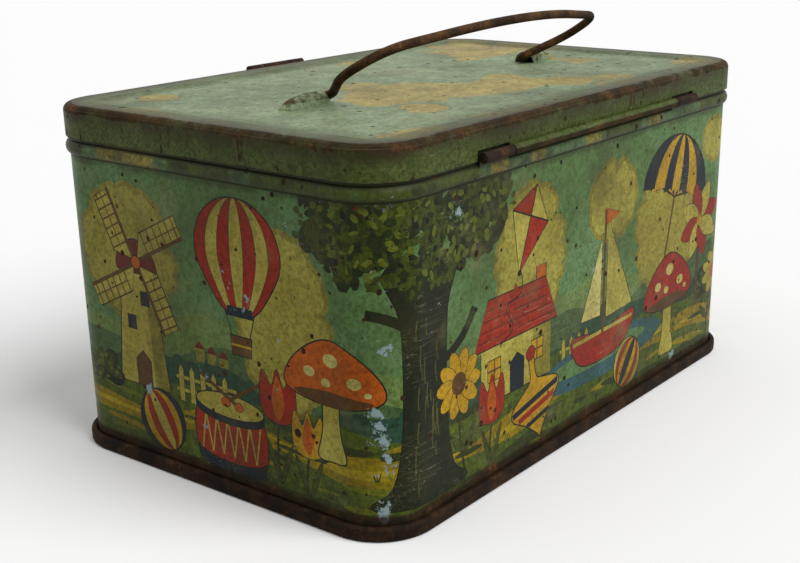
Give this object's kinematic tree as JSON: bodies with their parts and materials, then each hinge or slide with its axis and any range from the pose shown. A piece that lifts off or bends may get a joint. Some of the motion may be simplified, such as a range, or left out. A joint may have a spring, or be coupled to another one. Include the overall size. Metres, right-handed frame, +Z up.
{
  "type": "hinged tin box with carry handle",
  "caption": "Oblong tinplate box with rounded corners, a hinged lid, a swinging wire carry handle and a hasp at the front.",
  "frame": {"origin": "centre of the box on the plane that its bottom rim stands on", "axes": "+X along the box, +Y towards the hinge side, -Y towards the hasp, +Z up"},
  "size_m": [0.1922, 0.1276, 0.1207],
  "materials": {
    "body_tinplate": "printed and varnished tinplate, worn, with rust specks",
    "lid_tinplate": "printed and varnished tinplate, scratched, rusty along its edge",
    "seam_steel": "rusted rolled rim",
    "pin_steel": "rusted wire",
    "fitting_steel": "rusted tinplate",
    "bail_wire": "pitted rusty wire"
  },
  "bodies": {
    "body": {"body_wall": "body_tinplate", "bottom_pan": "seam_steel", "hinge_pin": "pin_steel", "catch_stud": "fitting_steel"},
    "lid": {"lid_shell": "lid_tinplate", "hasp_leaf": "fitting_steel", "hasp_rivets": "fitting_steel", "hasp_pin": "pin_steel"},
    "handle": {"carry_handle": "bail_wire"},
    "hasp": {"hasp_plate": "fitting_steel"}
  },
  "joints": [
    {"name": "lid_hinge", "type": "hinge", "parent": "body", "child": "lid", "pos_m": [0, 0.06165, 0.092], "axis": [-1, 0, 0], "range_deg": [0, 105]},
    {"name": "handle_swing", "type": "hinge", "parent": "lid", "child": "handle", "pos_m": [0, 0.003, 0.1009], "axis": [-1, 0, 0], "range_deg": [-149.5, 29.5]},
    {"name": "hasp_swing", "type": "hinge", "parent": "lid", "child": "hasp", "pos_m": [0, -0.06194, 0.0993], "axis": [-1, 0, 0], "range_deg": [-7, 218]}
  ]
}
